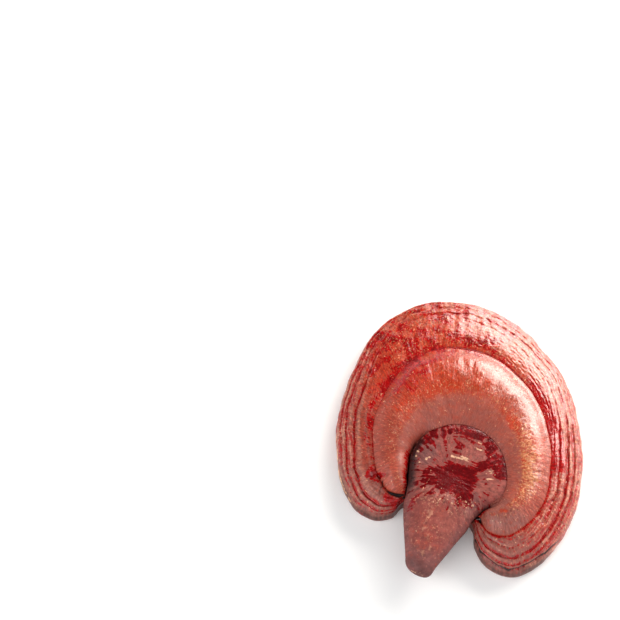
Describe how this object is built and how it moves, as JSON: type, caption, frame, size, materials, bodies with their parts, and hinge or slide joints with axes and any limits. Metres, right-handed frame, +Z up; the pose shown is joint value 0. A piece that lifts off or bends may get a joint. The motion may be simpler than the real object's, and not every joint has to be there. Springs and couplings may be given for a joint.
{
  "type": "reishi mushroom",
  "caption": "Dried reishi mushroom lying on its flat underside: kidney-shaped lacquered cap with a rolled inner ridge and ringed brim, and a short tapering stem from its notch.",
  "frame": {"origin": "centre of the bounding box in plan, at the height of the flat underside that it rests on", "axes": "+X across the two lobes, -Y along the stem from the notch, +Z up out of the lacquered side"},
  "size_m": [0.1152, 0.1332, 0.0212],
  "materials": {
    "cap_crust": "lacquered",
    "stem_crust": "lacquered"
  },
  "bodies": {
    "root": {"cap": "cap_crust", "stem": "stem_crust"}
  },
  "joints": []
}
